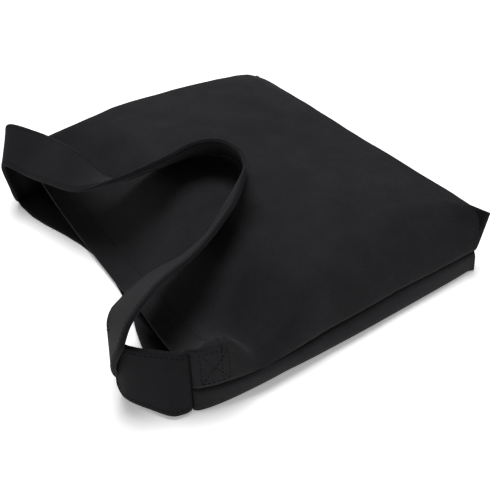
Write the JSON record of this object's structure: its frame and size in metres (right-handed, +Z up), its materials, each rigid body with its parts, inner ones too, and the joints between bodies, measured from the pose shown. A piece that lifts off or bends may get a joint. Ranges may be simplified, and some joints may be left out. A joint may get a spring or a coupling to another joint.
{
  "type": "sandbag",
  "caption": "Black canvas sandbag lying flat, with a slack open mouth, boxed bottom corners, a sand pouch inside and a wide shoulder strap looped over its top.",
  "frame": {"origin": "on the floor, at the middle of the bag's underside", "axes": "+X from the mouth to the bottom, +Y from the near side to the far side, +Z up"},
  "size_m": [0.3913, 0.4299, 0.1258],
  "materials": {
    "canvas": "matte black cotton canvas with a fine diagonal weave",
    "seam_tape": "matte black binding tape",
    "strap_canvas": "matte black folded canvas, stitched along both edges",
    "pouch_film": "dull dark grey welded film",
    "sand": "dry tan sand"
  },
  "bodies": {
    "bag": {"front_panel": "canvas", "back_panel": "canvas", "front_mouth_hem": "canvas", "back_mouth_hem": "canvas", "near_side_tape": "seam_tape", "far_side_tape": "seam_tape", "bottom_tape": "seam_tape", "near_corner_tape": "seam_tape", "far_corner_tape": "seam_tape", "pouch_upper": "pouch_film", "pouch_lower": "pouch_film", "sand_fill": "sand", "near_strap_end": "strap_canvas", "far_strap_end": "strap_canvas"},
    "strap": {"strap_loop": "strap_canvas"}
  },
  "joints": [
    {"name": "strap_swing", "type": "hinge", "parent": "bag", "child": "strap", "pos_m": [-0.197, 0, 0.1008], "axis": [0, -1, 0], "range_deg": [0, 100]}
  ]
}
